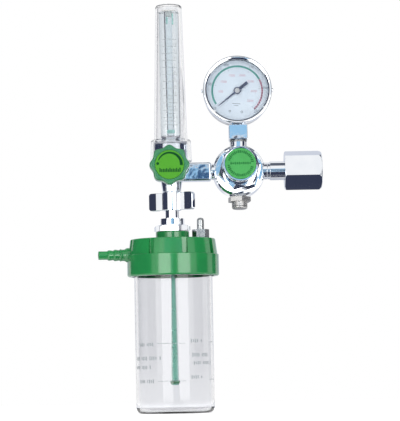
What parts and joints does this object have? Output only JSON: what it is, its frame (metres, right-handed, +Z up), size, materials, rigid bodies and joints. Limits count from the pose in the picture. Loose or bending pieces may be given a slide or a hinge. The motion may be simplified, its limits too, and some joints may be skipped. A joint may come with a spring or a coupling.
{
  "type": "oxygen regulator",
  "caption": "Medical oxygen regulator with contents gauge, knob-controlled ball flowmeter and humidifier bottle hung under it by a wing nut.",
  "frame": {"origin": "centre of the inlet nut's mouth, on the inlet axis", "axes": "+X out of the inlet nut towards the cylinder valve, +Z up along the flow tube, -Y towards the front of the gauge and the knob"},
  "size_m": [0.1956, 0.0846, 0.3551],
  "materials": {
    "chrome": "polished chrome plating",
    "nickel": "dull nickel plating",
    "brass": "machined",
    "copper": "drawn phosphor bronze",
    "spring_steel": "bright",
    "green_plastic": "moulded gloss",
    "bright_green": "printed gloss",
    "navy_paint": "satin paint",
    "clear_plastic": "clear gloss",
    "dial_white": "printed matte",
    "rubber": "matte",
    "nylon": "matte"
  },
  "bodies": {
    "regulator": {"adjusting_screw": "spring_steel", "adjusting_spring": "spring_steel", "ball_stop": "nylon", "bezel_screw_left": "chrome", "bezel_screw_right": "chrome", "bonnet": "chrome", "bonnet_badge": "bright_green", "bourdon_tube": "copper", "cover_seal": "rubber", "diaphragm": "rubber", "flow_block": "chrome", "flow_cover": "clear_plastic", "flow_tube": "clear_plastic", "gauge_bezel": "chrome", "gauge_case": "chrome", "gauge_dial": "dial_white", "gauge_socket": "brass", "gauge_washer": "copper", "gauge_window": "clear_plastic", "gland_nut": "chrome", "gland_packing": "nylon", "inlet_filter": "brass", "inlet_stem": "chrome", "inlet_washer": "nylon", "movement_frame": "brass", "regulator_body": "chrome", "relief_body": "nickel", "relief_cap": "nickel", "relief_spring": "spring_steel", "return_spring": "spring_steel", "slip_ring": "spring_steel", "spring_button": "spring_steel", "spring_plate": "spring_steel", "tube_seal": "rubber", "valve_nozzle": "brass"},
    "inlet_nut": {"inlet_nut": "chrome"},
    "knob": {"flow_knob": "green_plastic", "knob_badge": "bright_green", "needle_spindle": "brass"},
    "float": {"flow_ball": "spring_steel"},
    "pointer": {"gauge_pointer": "navy_paint", "pinion_arbor": "brass"},
    "sector": {"sector_gear": "brass"},
    "tube_tip": {"bourdon_tip": "brass", "gauge_link": "brass"},
    "valve": {"valve_poppet": "brass"},
    "relief": {"relief_poppet": "brass"},
    "humidifier": {"humidifier_stem": "chrome", "flange_nut": "chrome", "stem_seal": "rubber", "back_nut": "nylon", "bottle_cap": "green_plastic", "cap_relief_base": "nickel", "cap_relief_spring": "spring_steel", "dip_tube": "green_plastic", "dip_collar": "green_plastic"},
    "wing_nut": {"wing_nut": "chrome"},
    "cap_pin": {"cap_relief_pin": "nickel"},
    "seal": {"bottle_seal": "rubber"},
    "bottle": {"bottle": "clear_plastic"}
  },
  "joints": [
    {"name": "inlet_nut_spin", "type": "hinge", "parent": "regulator", "child": "inlet_nut", "pos_m": [0, 0, 0], "axis": [1, 0, 0], "continuous": true},
    {"name": "flow_knob_turn", "type": "hinge", "parent": "regulator", "child": "knob", "pos_m": [-0.13255, 0, 0.0038], "axis": [0, -1, 0], "range_deg": [0, 540]},
    {"name": "float_rise", "type": "slide", "parent": "regulator", "child": "float", "axis": [0, 0, 1], "range_m": [0, 0.104]},
    {"name": "sector_turn", "type": "hinge", "parent": "regulator", "child": "sector", "pos_m": [-0.06255, 0.00427, 0.06101], "axis": [0, -0.9976, 0.0698], "range_deg": [0, 33.75]},
    {"name": "pointer_turn", "type": "hinge", "parent": "regulator", "child": "pointer", "pos_m": [-0.0721, 0.00493, 0.07053], "axis": [0, 0.9976, -0.0698], "range_deg": [0, 270]},
    {"name": "tube_tip_slide", "type": "slide", "parent": "regulator", "child": "tube_tip", "axis": [0.4714, 0.0615, 0.8798], "range_m": [0, 0.00186], "stiffness_N_per_m": 40, "springref_m": -0.005, "deforming": ["bourdon_tube"]},
    {"name": "valve_open", "type": "slide", "parent": "regulator", "child": "valve", "axis": [0, 0.9976, -0.0698], "range_m": [0, 0.0006], "stiffness_N_per_m": 800, "springref_m": -0.002, "deforming": ["return_spring"]},
    {"name": "relief_lift", "type": "slide", "parent": "regulator", "child": "relief", "axis": [0, -0.0698, -0.9976], "range_m": [0, 0.0008], "stiffness_N_per_m": 500, "springref_m": -0.003, "deforming": ["relief_spring"]},
    {"name": "humidifier_drop", "type": "slide", "parent": "regulator", "child": "humidifier", "axis": [0, 0, -1], "range_m": [0, 0.00847]},
    {"name": "wing_nut_turn", "type": "hinge", "parent": "humidifier", "child": "wing_nut", "pos_m": [-0.1308, 0, -0.0332], "axis": [0, 0, -1], "range_deg": [0, 2160]},
    {"name": "cap_pin_lift", "type": "slide", "parent": "humidifier", "child": "cap_pin", "axis": [0, 0, 1], "range_m": [0, 0.003], "stiffness_N_per_m": 300, "springref_m": -0.004, "deforming": ["cap_relief_spring"]},
    {"name": "seal_drop", "type": "slide", "parent": "humidifier", "child": "seal", "axis": [0, 0, -1], "range_m": [0, 0.00599]},
    {"name": "bottle_turn", "type": "hinge", "parent": "seal", "child": "bottle", "pos_m": [-0.1308, 0, -0.0778], "axis": [0, 0, -1], "range_deg": [0, 540]}
  ],
  "couplings": [
    {"joint": "pointer_turn", "follows": "tube_tip_slide", "rad_per_m": 2536.5},
    {"joint": "sector_turn", "follows": "tube_tip_slide", "rad_per_m": 317.06},
    {"joint": "wing_nut_turn", "follows": "humidifier_drop", "rad_per_m": 4453},
    {"joint": "bottle_turn", "follows": "seal_drop", "rad_per_m": 1570.8}
  ]
}
